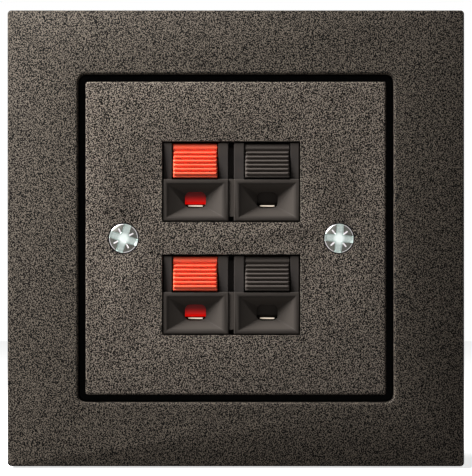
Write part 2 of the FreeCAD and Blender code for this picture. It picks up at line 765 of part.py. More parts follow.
def makeLever(label, side, level):
    body = newBody(label)
    heightHere = f"{level} * terminal_pitch / 2 + pivot_height"
    place(body, x=f"{side} * pole_pitch / 2", y="-pivot", z=heightHere)
    tongueFront = "(block_depth - pivot_depth + tongue_play)"
    tongueBack = f"({tongueFront} + tongue_thickness)"
    tipUp = "(-pivot_height - tip_drop)"
    shelfTop = "(-sweep_radius + shelf_thickness)"

    profile = sketchOn(body, "YZ_Plane", "button_side")
    drawOutline(profile, [
        ("0", "knuckle_radius"),
        onFace("0", "0"),
        onFace("band_length", "0"),
        onFace("(band_length + ridge_height)", "ridge_height"),
        onFace("button_length", "ridge_height"),
        onSweep("(-button_front - toe_reach)") + ("sweep_radius", 1),
        onSweep(tongueFront),
        (tongueBack, "-sweep_radius + heel_rise"),
        (tongueBack, shelfTop),
        ("knuckle_radius", "0", "knuckle_radius", 1),
    ])
    pad(body, "button_pad", profile, "button_width", both=True)

    hollow = sketchOn(body, "YZ_Plane", "hollow")
    wall = "(ridge_height + button_wall)"
    hollowTop = "(-knuckle_radius - knuckle_web)"
    drawOutline(hollow, [
        (f"{tongueBack} + overcut", shelfTop),
        (f"-button_front - button_length * sin(button_lean) + {wall}", shelfTop),
        (f"-button_front + {wall}", hollowTop),
        (f"{tongueBack} + overcut", hollowTop),
    ])
    pocket(body, "hollow_pocket", hollow, "button_width - 2 * button_side", both=True)

    tongue = sketchOn(body, "YZ_Plane", "tongue")
    half = "(tongue_thickness / 2)"
    drawOutline(tongue, [
        (tongueFront, shelfTop),
        (tongueFront, f"{tipUp} + {half}", half, 1),
        (tongueBack, f"{tipUp} + {half}"),
        (tongueBack, shelfTop),
    ])
    pad(body, "tongue_pad", tongue, "tongue_width", both=True)

    trunnions = sketchOn(body, "YZ_Plane", "trunnions")
    drawCircle(trunnions, "0", "0", "trunnion_radius")
    pad(body, "trunnion_pad", trunnions, "button_width + 2 * trunnion_length", both=True)

    ridge = sketchOn(body, "YZ_Plane", "ridge")
    shoulder = "((ridge_base - ridge_crest) / 2)"
    root = "(ridge_height + ridge_root)"
    drawOutline(ridge, [
        onFace("first_ridge", root),
        onFace("(first_ridge + ridge_base)", root),
        onFace(f"(first_ridge + ridge_base - {shoulder})", "0"),
        onFace(f"(first_ridge + {shoulder})", "0"),
    ])
    line = [FreeCAD.Vector(size(p[0]), size(p[1]), 0) for p in (onFace("0", "0"), onFace("1", "0"))]
    ridge.addGeometry(Part.LineSegment(*line), True)
    ridgePad = pad(body, "ridge_pad", ridge, "button_width", both=True)
    pattern = body.newObject("PartDesign::LinearPattern", "ridges")
    pattern.Originals = [ridgePad]
    pattern.Direction = (ridge, ["Axis0"])
    pattern.Mode = "Spacing"
    pattern.setExpression("Offset", spell("ridge_pitch"))
    room = "(button_length - first_ridge - ridge_base)"
    pattern.setExpression("Occurrences", spell(f"floor({room} / ridge_pitch) + 1"))
    body.Tip = pattern
    doc.recompute()


# Contact: a bent strip whose front edge shows in the wire hole and whose end is the solder tag

def makeContact(label, side, level):
    body = newBody(label)
    place(body, x=f"{side} * pole_pitch / 2", z=f"{level} * terminal_pitch / 2")
    start = "(tongue_play - block_back)"
    bend = "(contact_reach - block_back)"
    fall = "(contact_reach - tongue_play) * tan(contact_slope)"
    end = "(tag_stand - board_back)"
    strip = sketchOn(body, "YZ_Plane", "strip")
    drawOutline(strip, [
        (start, "-contact_top - contact_thickness"),
        (bend, f"-contact_top - contact_thickness - {fall}"),
        (f"{bend} + tag_bend", "-tag_drop - contact_thickness"),
        (end, "-tag_drop - contact_thickness"),
        (end, "-tag_drop"),
        (f"{bend} + tag_bend + tag_skew", "-tag_drop"),
        (f"{bend} + tag_skew", f"-contact_top - {fall}"),
        (start, "-contact_top"),
    ])
    pad(body, "strip_pad", strip, "contact_width", both=True)
    eye = sketchOn(body, "XY_Plane", "tag_eye")
    middle = f"{end} - tag_eye_length"
    drawOutline(eye, stadium("0", middle, "tag_eye_length", "tag_eye_width / 2", upright=True))
    pocket(body, "tag_eye_pocket", eye, "2 * case_height", both=True)


# Leaf spring: a hairpin whose long leg lies on the board and whose free leg bears on the lever

def makeSpring(label, side, level):
    body = newBody(label)
    place(body, x=f"{side} * pole_pitch / 2", z=f"{level} * terminal_pitch / 2")
    rest = "(-case_back - spring_play - spring_thickness / 2)"
    free = f"({rest} - 2 * spring_bend)"
    lever = "(-block_back + tongue_play + tongue_thickness + spring_play + spring_thickness / 2)"
    path = sketchOn(body, "YZ_Plane", "path")
    points = [(rest, "spring_top"), (rest, "-spring_low"), (free, "-spring_low")]
    last = (lever, "-spring_low + spring_rise")
    low, turn, far = [FreeCAD.Vector(size(a), size(b), 0) for a, b in points]
    final = FreeCAD.Vector(size(last[0]), size(last[1]), 0)
    leg = path.addGeometry(Part.LineSegment(low, turn), False)
    below = (turn + far) / 2 - FreeCAD.Vector(0, size("spring_bend"), 0)
    arc = path.addGeometry(Part.Arc(turn, below, far), False)
    arm = path.addGeometry(Part.LineSegment(far, final), False)
    for joint in ((leg, 2, arc, endOf(path, arc, turn)), (arc, endOf(path, arc, far), arm, 1)):
        path.addConstraint(Sketcher.Constraint("Tangent", *joint))
    bindValue(path, "Radius", (arc,), "spring_bend")
    for geometry, end, (across, up) in ((leg, 1, points[0]), (leg, 2, points[1]), (arm, 2, last)):
        bindValue(path, "DistanceX", (-1, 1, geometry, end), across)
        bindValue(path, "DistanceY", (-1, 1, geometry, end), up)
    section = sketchOn(body, "XY_Plane", "section", "spring_top")
    drawOutline(section, roundedBox("0", rest, "spring_width", "spring_thickness"))
    doc.recompute()
    pipe = body.newObject("PartDesign::AdditivePipe", "leaf")
    pipe.Profile = section
    pipe.Spine = path
    pipe.Transition = "Transformed"
    doc.recompute()


# Fixing screw: a small pan-head screw from behind, through an ear into the plate's boss

def makeFixingScrew(label, side, level):
    body = newBody(label)
    across = f"{side} * ear_pitch / 2"
    place(body, x=across, y="-flange_back", z=f"{level} * terminal_pitch / 2")
    turned = sketchOn(body, "XY_Plane", "turned")
    drawOutline(turned, [
        ("0", "-fixing_length"),
        ("fixing_radius / 2", "-fixing_length"),
        ("fixing_radius", "-fixing_length + fixing_radius"),
        ("fixing_radius", "0"),
        ("fixing_head_radius", "0"),
        ("fixing_head_radius", "fixing_head_height / 2"),
        ("fixing_head_radius - fixing_head_height / 2", "fixing_head_height"),
        ("0", "fixing_head_height"),
    ])
    feature = body.newObject("PartDesign::Revolution", "turned_body")
    feature.Profile = turned
    feature.ReferenceAxis = (turned, ["V_Axis"])
    feature.Angle = 360
    doc.recompute()


doc = FreeCAD.newDocument("speaker_terminal_plate")
sheet = doc.addObject("Spreadsheet::Sheet", "Sizes")
for row, (name, value) in enumerate(sizes.items(), start=1):
    sheet.set(f"A{row}", name)
    sheet.set(f"B{row}", str(value))
    sheet.setAlias(f"B{row}", name)
doc.recompute()

makeCoverFrame()
makeCentrePlate()
makeSupportFrame()
makePlateScrew("plate_screw_left", -1)
makePlateScrew("plate_screw_right", 1)
for rowName, level in (("upper", 1), ("lower", -1)):
    makeTerminalBody(rowName + "_terminal_body", level)
    makeRearBoard(rowName + "_rear_board", level)
    for colour, side in (("red", -1), ("black", 1)):
        makeLever(f"{rowName}_{colour}_lever", side, level)
        makeContact(f"{rowName}_{colour}_contact", side, level)
        makeSpring(f"{rowName}_{colour}_spring", side, level)
    for hand, side in (("left", -1), ("right", 1)):
        makeFixingScrew(f"{rowName}_fixing_screw_{hand}", side, level)

doc.recompute()
bodies = [item for item in doc.Objects if item.TypeId == "PartDesign::Body"]
for item in doc.Objects:
    if "Invalid" in item.State or "Error" in item.State:
        raise ValueError(f"{item.Name} failed: {item.State}")
for body in bodies:
    if body.Shape.isNull() or not body.Shape.isValid():
        raise ValueError(f"{body.Label} has no valid shape")

os.makedirs("parts", exist_ok=True)
for body in bodies:
    body.Shape.exportStep(os.path.join("parts", body.Label + ".step"))
    box = body.Shape.BoundBox
    print(body.Label, len(body.Shape.Solids), round(body.Shape.Volume, 1), box)
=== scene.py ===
import json
import math

import bmesh
import bpy
from mathutils import Matrix, Vector


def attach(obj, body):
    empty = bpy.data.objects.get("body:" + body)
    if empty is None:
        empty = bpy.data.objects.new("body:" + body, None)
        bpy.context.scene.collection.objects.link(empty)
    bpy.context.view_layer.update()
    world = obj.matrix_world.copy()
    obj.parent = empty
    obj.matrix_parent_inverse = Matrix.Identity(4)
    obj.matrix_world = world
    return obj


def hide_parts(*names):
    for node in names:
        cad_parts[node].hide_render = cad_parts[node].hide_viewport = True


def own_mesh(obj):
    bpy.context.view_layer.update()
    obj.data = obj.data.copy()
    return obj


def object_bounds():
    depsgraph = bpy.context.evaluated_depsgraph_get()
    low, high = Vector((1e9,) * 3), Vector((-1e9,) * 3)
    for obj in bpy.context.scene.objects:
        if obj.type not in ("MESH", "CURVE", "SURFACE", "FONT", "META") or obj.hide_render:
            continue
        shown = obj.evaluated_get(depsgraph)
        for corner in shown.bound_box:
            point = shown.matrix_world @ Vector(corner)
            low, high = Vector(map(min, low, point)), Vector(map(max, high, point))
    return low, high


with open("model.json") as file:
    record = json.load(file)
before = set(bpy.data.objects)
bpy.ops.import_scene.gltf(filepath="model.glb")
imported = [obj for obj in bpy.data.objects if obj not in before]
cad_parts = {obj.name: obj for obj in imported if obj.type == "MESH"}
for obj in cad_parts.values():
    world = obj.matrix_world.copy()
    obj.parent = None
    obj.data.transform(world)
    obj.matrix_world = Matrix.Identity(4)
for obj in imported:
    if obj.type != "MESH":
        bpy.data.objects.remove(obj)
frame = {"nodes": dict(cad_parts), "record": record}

cadBox = [list(corner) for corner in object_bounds()]
nodes = frame["nodes"]
slots = {part["node"]: part["material_slot"] for part in frame["record"]["subparts"]}
bodyOf = {node: body for body, parts in frame["record"]["behaviour"]["bodies"].items() for node in parts}
mm = 0.001


# Shader maths: a wire is a node's output, and a sum on it adds the Math node

class Wire:
    def __init__(self, nodes, socket):
        self.nodes = nodes
        self.socket = socket

    def __add__(self, other):
        return self.nodes.work("ADD", self, other)

    def __radd__(self, other):
        return self.nodes.work("ADD", other, self)

    def __sub__(self, other):
        return self.nodes.work("SUBTRACT", self, other)

    def __rsub__(self, other):
        return self.nodes.work("SUBTRACT", other, self)

    def __mul__(self, other):
        return self.nodes.work("MULTIPLY", self, other)

    def __rmul__(self, other):
        return self.nodes.work("MULTIPLY", other, self)

    def __truediv__(self, other):
        return self.nodes.work("DIVIDE", self, other)

    def __pow__(self, other):
        return self.nodes.work("POWER", self, other)

    def __abs__(self):
        return self.nodes.work("ABSOLUTE", self)

    def between(self, low, high):  # 0 below low, 1 above high, smooth between
        return self.nodes.add(
            "ShaderNodeMapRange", {"interpolation_type": "SMOOTHSTEP"},
            {"Value": self, "From Min": low, "From Max": high})


class NodeTree:  # what materials and Geometry Nodes share
    def feed(self, socket, value):
        if isinstance(value, list):
            for wire in value:
                self.tree.links.new(wire.socket, socket)
        elif isinstance(value, Wire):
            self.tree.links.new(value.socket, socket)
        else:
            socket.default_value = value

    def add(self, kind, settings=None, sockets=None, out=0):
        node = self.tree.nodes.new(kind)
        for key, value in (settings or {}).items():
            if key != "stops":
                setattr(node, key, value)
                continue
            stops = node.color_ramp.elements
            while len(stops) < len(value):
                stops.new(1.0)
            for stop, (place, colour) in zip(stops, value):
                stop.position = place
                stop.color = colour
        for key, value in (sockets or {}).items():
            self.feed(node.inputs[key], value)
        return Wire(self, node.outputs[out])

    def work(self, operation, first, second=0.0):
        return self.add("ShaderNodeMath", {"operation": operation}, {0: first, 1: second})


class Finish(NodeTree):  # one material
    def __init__(self, name, **shader):
        self.material = bpy.data.materials.new(name)
        self.material.use_nodes = True
        self.tree = self.material.node_tree
        self.shader = self.tree.nodes["Principled BSDF"]
        for socket, value in shader.items():
            self.feed(self.shader.inputs[socket.replace("_", " ")], value)

    def where(self, stretch=(1, 1, 1), turn=(0, 0, 0)):
        own = self.add("ShaderNodeTexCoord", out=3)
        return self.add("ShaderNodeMapping", None, {"Vector": own, "Scale": stretch, "Rotation": turn})

    def axis(self, letter):
        own = self.add("ShaderNodeTexCoord", out=3)
        return self.add("ShaderNodeSeparateXYZ", None, {"Vector": own}, "XYZ".index(letter))

    def noise(self, grain, detail=2.0, rough=0.5, stretch=(1, 1, 1), turn=(0, 0, 0)):
        # grain is the size of one speck, in millimetres
        return self.add("ShaderNodeTexNoise", None, {
            "Vector": self.where(stretch, turn), "Scale": 1 / (grain * mm), "Detail": detail, "Roughness": rough})

    def blend(self, factor, first, second):
        return self.add("ShaderNodeMix", {"data_type": "RGBA"}, {0: factor, 6: first, 7: second}, 2)

    def ramp(self, factor, stops):
        return self.add("ShaderNodeValToRGB", {"stops": stops}, {"Fac": factor})

    def bump(self, height, depth, below=None):
        # depth is how far the highest stands over the lowest, in millimetres
        sockets = {"Height": height, "Distance": depth * mm, "Strength": 1.0}
        if below is not None:
            sockets["Normal"] = below
        return self.add("ShaderNodeBump", None, sockets)

    def wear(self, **sockets):
        for socket, value in sockets.items():
            self.feed(self.shader.inputs[socket.replace("_", " ")], value)
        return self.material


def paint(red, green, blue):
    # a colour as the eye sees it on a screen, 0 to 255, in linear light
    linear = [c / 255 / 12.92 if c < 10.3 else ((c / 255 + 0.055) / 1.055) ** 2.4 for c in (red, green, blue)]
    return (*linear, 1.0)


# Finishes

lacquer = {
    "plate": ((12, 10, 9), (36, 32, 28), (133, 123, 113)),
    "cover": ((9, 8, 7), (25, 22, 19), (101, 93, 84)),
    # the near-black tone is painted shade, deep in the groove round the plate and in a ring round each plate screw's
    # head
    "shadeBlack": (12, 11, 11), "reach": -8.9, "fadeIn": 0.7, "across": 0.85, "wide": 31.0, "tall": 32.0,
    "screwAt": 20.0, "screwGapShade": 2.9, "shadeFrom": -8.0, "shadeTo": 40.0, "shade": 0.3,
    "speck": 0.185, "turn": (0.5, 0.4, 0.6), "contrast": 6.5, "depth": 0.02,
    "roughness": 0.55, "gloss": 0.06,
}


def screwDistance(finish):
    # how far a point is from the nearer plate screw's axis
    beside = abs(finish.axis("X")) - lacquer["screwAt"] * mm
    return finish.work("SQRT", beside * beside + finish.axis("Z") * finish.axis("Z"))


def makeLacquer(name, tones, shade=0.0):
    # a textured lacquer: pale and dark specks, with near-black painted shade deep in the groove round the plate and in
    # a ring round each plate screw
    finish = Finish(name, Specular_IOR_Level=lacquer["gloss"])
    speck = finish.noise(lacquer["speck"], 0.0, turn=lacquer["turn"])  # turned, so that no face lies along its lattice
    grain = (speck - 0.5) * lacquer["contrast"] + 0.5
    dark, middle, light = [paint(*tone) for tone in tones]
    colour = finish.ramp(grain, [(0.0, dark), (0.5, middle), (1.0, light)])
    if shade:  # painted shade: the lacquer is darker towards the lower right, where less lamp light falls
        along = finish.axis("X") * 0.4 - finish.axis("Z")
        darker = along.between(lacquer["shadeFrom"] * mm, lacquer["shadeTo"] * mm) * shade
        colour = finish.blend(darker, colour, (0, 0, 0, 1))
    # painted shade: near black deep in the groove round the plate, where shade falls
    wide = abs(finish.axis("X") - lacquer["across"] * mm).between((lacquer["wide"] + 0.5) * mm, (lacquer["wide"] - 0.5) * mm)
    tall = abs(finish.axis("Z")).between((lacquer["tall"] + 0.5) * mm, (lacquer["tall"] - 0.5) * mm)
    deep = finish.axis("Y").between(lacquer["reach"] * mm, (lacquer["reach"] + lacquer["fadeIn"]) * mm)
    grooveShade = deep * wide * tall
    # painted shade: a thin near-black ring round each plate screw's head, standing in for the shadow in the gap at its
    # edge
    screwGapShade = screwDistance(finish).between((lacquer["screwGapShade"] + 0.1) * mm, (lacquer["screwGapShade"] - 0.05) * mm)
    colour = finish.blend(finish.work("MAXIMUM", grooveShade, screwGapShade), colour, paint(*lacquer["shadeBlack"]))
    rough = lacquer["roughness"] - (speck - 0.5) * 0.4
    return finish.wear(Base_Color=colour, Roughness=rough, Normal=finish.bump(speck, lacquer["depth"]))


leverRed = {
    "tone": (255, 108, 78), "deep": (247, 78, 50), "roughness": 0.4, "gloss": 0.25,
    # the glow is painted light in the tongue, and the tongue tone painted shade deep behind the face
    "glow": (225, 16, 10), "glowStrength": 0.9, "tongue": (160, 10, 6), "soft": 0.35, "softReach": 0.5,
    "holeTop": 8.2, "holeBottom": 5.9, "tongueAt": -6.15, "rowPitch": 21.0,
}
housing = {
    # the funnel tone is painted light on the funnel walls, and the panel tone painted shade beside the levers
    "tone": (50, 46, 43), "dust": (80, 74, 69), "funnel": (66, 61, 57), "panel": (42, 39, 38), "lever": (76, 70, 66),
    "lip": -9.05, "ledge": 11.0, "roughness": 0.5, "gloss": 0.05, "grain": 0.09,
}


def makeHousingBlack(name, tone, panels=1.0):
    # the funnels' inside is painted lighter, as painted light on its walls, and the panels beside the levers darker,
    # as painted shade in that recess
    finish = Finish(name, Specular_IOR_Level=housing["gloss"])
    skin = finish.noise(housing["grain"], 3.0, 0.6)
    cloud = finish.noise(4.0, 3.0, 0.5)
    height = finish.work("FLOORED_MODULO", finish.axis("Z"), leverRed["rowPitch"] * mm)
    deep = finish.axis("Y").between((housing["lip"] - 0.15) * mm, (housing["lip"] + 0.15) * mm)
    below = height.between((housing["ledge"] + 0.1) * mm, (housing["ledge"] - 0.1) * mm)
    # painted light: the funnel walls are lighter than the rest of the housing
    colour = finish.blend(deep * below, paint(*tone), paint(*housing["funnel"]))
    # painted shade: the recessed panels beside the levers are darker, standing in for the shadow of the levers and the
    # plate's edge
    colour = finish.blend(deep * (1 - below) * panels, colour, paint(*housing["panel"]))
    colour = finish.blend(cloud * 0.3, colour, paint(*housing["dust"]))
    rough = housing["roughness"] + (cloud - 0.5) * 0.15 + (skin - 0.5) * 0.2
    return finish.wear(Base_Color=colour, Roughness=rough, Normal=finish.bump(skin, 0.006))


def makeLeverRed(name):
    finish = Finish(name, Specular_IOR_Level=leverRed["gloss"], Subsurface_Weight=leverRed["soft"],
                    Subsurface_Radius=(1.0, 0.2, 0.1), Subsurface_Scale=leverRed["softReach"] * mm)
    skin = finish.noise(0.3, 1.0, 0.5)
    cloud = finish.noise(3.0, 2.0, 0.5)
    colour = finish.blend(cloud * 0.5, paint(*leverRed["tone"]), paint(*leverRed["deep"]))
    rough = leverRed["roughness"] + (skin - 0.5) * 0.2
    # painted light: the tongue behind each funnel's hole glows red, standing in for the light that reaches it there
    height = finish.work("FLOORED_MODULO", finish.axis("Z"), leverRed["rowPitch"] * mm)
    deep = finish.axis("Y").between((leverRed["tongueAt"] - 0.25) * mm, (leverRed["tongueAt"] + 0.25) * mm)
    glow = height.between(leverRed["holeTop"] * mm, leverRed["holeBottom"] * mm) * deep
    # painted shade: the red deep behind the face, in the tongue, is darker
    colour = finish.blend(deep, colour, paint(*leverRed["tongue"]))
    return finish.wear(
        Base_Color=colour, Roughness=rough, Normal=finish.bump(skin, 0.003),
        Emission_Color=finish.blend(glow, (0, 0, 0, 1), paint(*leverRed["glow"])),
        Emission_Strength=leverRed["glowStrength"])


metals = {  # clean tone, dull tone, roughness, size of the clouds in millimetres
    "zinc": ((206, 214, 214), (150, 156, 158), 0.24, 0.5),
    # the plate screw's dome and rim are darker zinc, as painted reflection of a dark room
    "screwFace": ((118, 117, 111), (62, 62, 60), 0.34, 0.3),
    # the plate screw's cross recess and fine marks are brighter zinc, as painted highlight
    "screwBright": ((218, 228, 224), (150, 161, 157), 0.36, 0.35),
    "screwMark": ((252, 248, 250), (228, 222, 225), 0.3, 0.3),
    "screwRim": ((172, 166, 165), (112, 108, 106), 0.38, 0.8),
    "sheet": ((176, 182, 184), (140, 146, 150), 0.34, 2.5),
    "spring": ((150, 150, 152), (104, 104, 108), 0.3, 0.8),
    "contact": ((255, 242, 224), (244, 224, 198), 0.3, 0.6),
}
middleHighlight = {"screwBright": (246, 254, 251), "from": 1.3, "to": 0.5}  # painted highlight: the recess is brighter at its middle


def makeMetal(name):
    tone, dull, roughness, grain = metals[name]
    finish = Finish(name + "Metal", Metallic=1.0)
    cloud = finish.noise(grain, 4.0, 0.6)
    fine = finish.noise(grain / 6, 2.0, 0.5)
    colour = finish.blend(cloud, paint(*tone), paint(*dull))
    if name in middleHighlight:
        # painted highlight at the middle of the screw's recess
        middle = screwDistance(finish).between(middleHighlight["from"] * mm, middleHighlight["to"] * mm)
        colour = finish.blend(middle, colour, paint(*middleHighlight[name]))
    rough = roughness + (cloud - 0.5) * 0.2
    return finish.wear(Base_Color=colour, Roughness=rough, Normal=finish.bump(fine, 0.002))


board = {"pale": (150, 106, 66), "brown": (112, 74, 44), "stain": (88, 56, 34), "roughness": 0.5, "gloss": 0.4}


def makeBoard(name):
    # hard paper: short fibres pressed along the sheet
    finish = Finish(name, Specular_IOR_Level=board["gloss"])
    fibres = finish.noise(0.5, 4.0, 0.6, stretch=(1, 1, 5))
    cloud = finish.noise(3.0, 2.0, 0.5)
    colour = finish.blend(fibres, paint(*board["brown"]), paint(*board["pale"]))
    colour = finish.blend(cloud * 0.4, colour, paint(*board["stain"]))
    rough = board["roughness"] + fibres * 0.2
    return finish.wear(Base_Color=colour, Roughness=rough, Normal=finish.bump(fibres, 0.02))


finishes = {name: makeMetal(name) for name in metals}
finishes["plate"] = makeLacquer("plateLacquer", lacquer["plate"], lacquer["shade"])
finishes["cover"] = makeLacquer("coverLacquer", lacquer["cover"])
finishes["housing"] = makeHousingBlack("housingBlack", housing["tone"])
finishes["leverBlack"] = makeHousingBlack("leverBlack", housing["lever"], 0.0)
finishes["leverRed"] = makeLeverRed("leverRed")
finishes["board"] = makeBoard("hardPaper")
print("finishes made:", len(finishes))


def dress(thing, finish):
    thing.data.materials.clear()
    thing.data.materials.append(finishes[finish])


# Meshes

def evaluated(thing):
    # the mesh as its modifiers leave it
    graph = bpy.context.evaluated_depsgraph_get()
    return bpy.data.meshes.new_from_object(thing.evaluated_get(graph), depsgraph=graph)


def settle(thing):
    # bakes the modifiers into the mesh and takes them off
    mesh = evaluated(thing)
    thing.modifiers.clear()
    thing.data = mesh
    return thing


def newThing(name, mesh):
    thing = bpy.data.objects.new(name, mesh)
    bpy.context.scene.collection.objects.link(thing)
    return thing


def weighEdges(work, front, angle=30):
    # full rounding on the sharp edges that show, before this depth, less on the others and in inner corners
    weight = work.edges.layers.float.new("bevel_weight_edge")
    for edge in work.edges:
        if len(edge.link_faces) == 2 and edge.calc_face_angle() > math.radians(angle):
            shown = all(vert.co.y < front * mm for vert in edge.verts)
            edge[weight] = 1.0 if shown and edge.is_convex else 0.5


def roundEdges(thing, width, turns=2, angle=30, weighed=False):
    # breaks every sharp edge by so many millimetres, and keeps the flats flat
    for face in thing.data.polygons:
        face.use_smooth = True
    bevel = thing.modifiers.new("edges", "BEVEL")
    bevel.width = width * mm
    bevel.segments = turns
    bevel.limit_method = "WEIGHT" if weighed else "ANGLE"
    bevel.angle_limit = math.radians(angle)
    bevel.use_clamp_overlap = False
    bevel.harden_normals = True
    return settle(thing)


panel = {"front": -8.2, "back": -8.95, "raised": 0.4}


def moulded(node, width, finish, front=None):
    # the CAD piece again with its edges broken, in its place
    work = bmesh.new()
    work.from_mesh(nodes[node].data)
    bmesh.ops.remove_doubles(work, verts=work.verts, dist=1e-6)
    bmesh.ops.dissolve_limit(work, angle_limit=math.radians(0.5), verts=work.verts, edges=work.edges)
    if front:
        for vert in work.verts:  # the panels beside the levers lie a little nearer the front
            if panel["back"] < vert.co.y / mm < panel["front"]:
                vert.co.y -= panel["raised"] * mm
        weighEdges(work, front)
    mesh = bpy.data.meshes.new(node + "_dressed")
    work.to_mesh(mesh)
    work.free()
    thing = roundEdges(newThing(node + "_dressed", mesh), width, weighed=bool(front))
    dress(thing, finish)
    return thing


def install(thing, body, slot, *replaced):
    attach(thing, body)
    if replaced:
        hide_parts(*replaced)


def outline(corners, turns=5):
    # a closed line through (across, up, radius) corners, each rounded by its radius
    line = []
    for number, (across, up, radius) in enumerate(corners):
        here = Vector((across, up))
        before = (Vector(corners[number - 1][:2]) - here).normalized()
        after = (Vector(corners[(number + 1) % len(corners)][:2]) - here).normalized()
        if radius == 0:
            line.append(here)
            continue
        half = before.angle(after) / 2
        centre = here + (before + after).normalized() * radius / math.sin(half)
        first = here + before * radius / math.tan(half) - centre
        last = here + after * radius / math.tan(half) - centre
        sweep = first.angle_signed(last)
        for step in range(turns + 1):
            line.append(centre + Matrix.Rotation(-sweep * step / turns, 2) @ first)
    return line


def meshFrom(name, points, faces):
    # points in millimetres
    mesh = bpy.data.meshes.new(name)
    mesh.from_pydata([Vector(point) * mm for point in points], [], faces)
    mesh.validate()
    work = bmesh.new()
    work.from_mesh(mesh)
    bmesh.ops.recalc_face_normals(work, faces=work.faces)
    work.to_mesh(mesh)
    work.free()
    return mesh


def prism(name, line, low, high, shift=(0, 0, 0)):
    # an outline in Y and Z, drawn out along X
    count = len(line)
    points = [(x + shift[0], p[0] + shift[1], p[1] + shift[2]) for x in (low, high) for p in line]
    sides = [(n, (n + 1) % count, count + (n + 1) % count, count + n) for n in range(count)]
    return newThing(name, meshFrom(name, points, [tuple(range(count)), tuple(range(count, 2 * count))] + sides))


def wedge(name, front, back, mouth, floor, centre=(0, 0), turn=0):
    # a four-sided taper along Y: mouth and floor are (width, height), turned about its own axis
    points = []
    for depth, (wide, tall) in ((front, mouth), (back, floor)):
        for x, z in ((-1, -1), (1, -1), (1, 1), (-1, 1)):
            spot = Matrix.Rotation(math.radians(turn), 2) @ Vector((x * wide / 2, z * tall / 2))
            points.append((centre[0] + spot.x, depth, centre[1] + spot.y))
    faces = [(0, 1, 2, 3), (4, 5, 6, 7), (0, 1, 5, 4), (1, 2, 6, 5), (2, 3, 7, 6), (3, 0, 4, 7)]
    return newThing(name, meshFrom(name, points, faces))


def turned(name, profile, centre, steps=64):
    # a body turned about an axis along Y: the profile is (radius, depth), from the axis to the axis
    points, faces = [], []
    ends = [profile[0], profile[-1]]
    rings = [spot for spot in profile if spot[0] > 0]
    for radius, depth in rings:
        for step in range(steps):
            angle = math.tau * step / steps
            points.append((centre[0] + radius * math.cos(angle), centre[1] + depth, centre[2] + radius * math.sin(angle)))
    for ring in range(len(rings) - 1):
        for step in range(steps):
            a, b = ring * steps + step, ring * steps + (step + 1) % steps
            faces.append((a, b, b + steps, a + steps))
    for end, ring in ((0, 0), (1, len(rings) - 1)):
        tip = len(points)
        points.append((centre[0], centre[1] + ends[end][1], centre[2]))
        faces += [(ring * steps + step, ring * steps + (step + 1) % steps, tip) for step in range(steps)]
    return newThing(name, meshFrom(name, points, faces))


def combine(thing, operation, *others):
    for other in others:
        step = thing.modifiers.new("cut", "BOOLEAN")
        step.operation = operation
        step.solver = "EXACT"
        step.object = other
        settle(thing)
        bpy.data.objects.remove(other)
    return thing


class Recipe(NodeTree):  # one Geometry Nodes tree, with named inputs
    def __init__(self, name, inputs):
        self.tree = bpy.data.node_groups.new(name, "GeometryNodeTree")
        self.tree.interface.new_socket("Geometry", in_out="OUTPUT", socket_type="NodeSocketGeometry")
        self.keys = {}
        for label, kind in inputs.items():
            socket = self.tree.interface.new_socket(label, in_out="INPUT", socket_type="NodeSocket" + kind)
            self.keys[label] = socket.identifier
        self.start = self.tree.nodes.new("NodeGroupInput")
        self.end = self.tree.nodes.new("NodeGroupOutput")

    def given(self, label):
        return Wire(self, self.start.outputs[label])

    def vector(self, x=0.0, y=0.0, z=0.0):
        return self.add("ShaderNodeCombineXYZ", None, {"X": x, "Y": y, "Z": z})

    def deliver(self, geometry):
        whole = self.add("GeometryNodeRealizeInstances", None, {"Geometry": geometry})
        painted = self.add("GeometryNodeSetMaterial", None, {"Geometry": whole, "Material": self.given("Finish")})
        self.feed(self.end.inputs[0], painted)

    def grow(self, thing, values):  # runs on a thing and leaves a plain mesh
        step = thing.modifiers.new(self.tree.name, "NODES")
        step.node_group = self.tree
        for label, value in values.items():
            step[self.keys[label]] = value
        return settle(thing)


# Levers: a blank with a hollow back, a tongue and trunnions, and ridges laid down its face

lever = {
    "pole": 6.7, "level": 10.5, "pivotDepth": -6.9, "pivotUp": 5.6,
    "width": 8.2, "front": 1.9, "lean": 8.0, "length": 5.948, "knuckle": 1.5, "sweep": 5.3, "toeReach": 0.45,
    "band": 0.92, "groove": 0.42, "ridges": 6, "first": 1.71, "pitch": 0.775, "foot": 0.68, "crest": 0.34, "height": 0.43,
    "wall": 1.62, "side": 1.0, "web": 0.2, "shelf": 1.3, "heel": 0.2,
    "tongueFront": 1.15, "tongueThick": 1.4, "tongueWide": 5.0, "tongueTip": -9.75,
    "trunnion": 1.0, "trunnionSpan": 10.0, "edge": 0.09,
}


def onLeverFace(along, inward=0.0):
    lean = math.radians(lever["lean"])
    return (-lever["front"] - along * math.sin(lean) + inward * math.cos(lean),
            lever["knuckle"] - along * math.cos(lean) - inward * math.sin(lean))


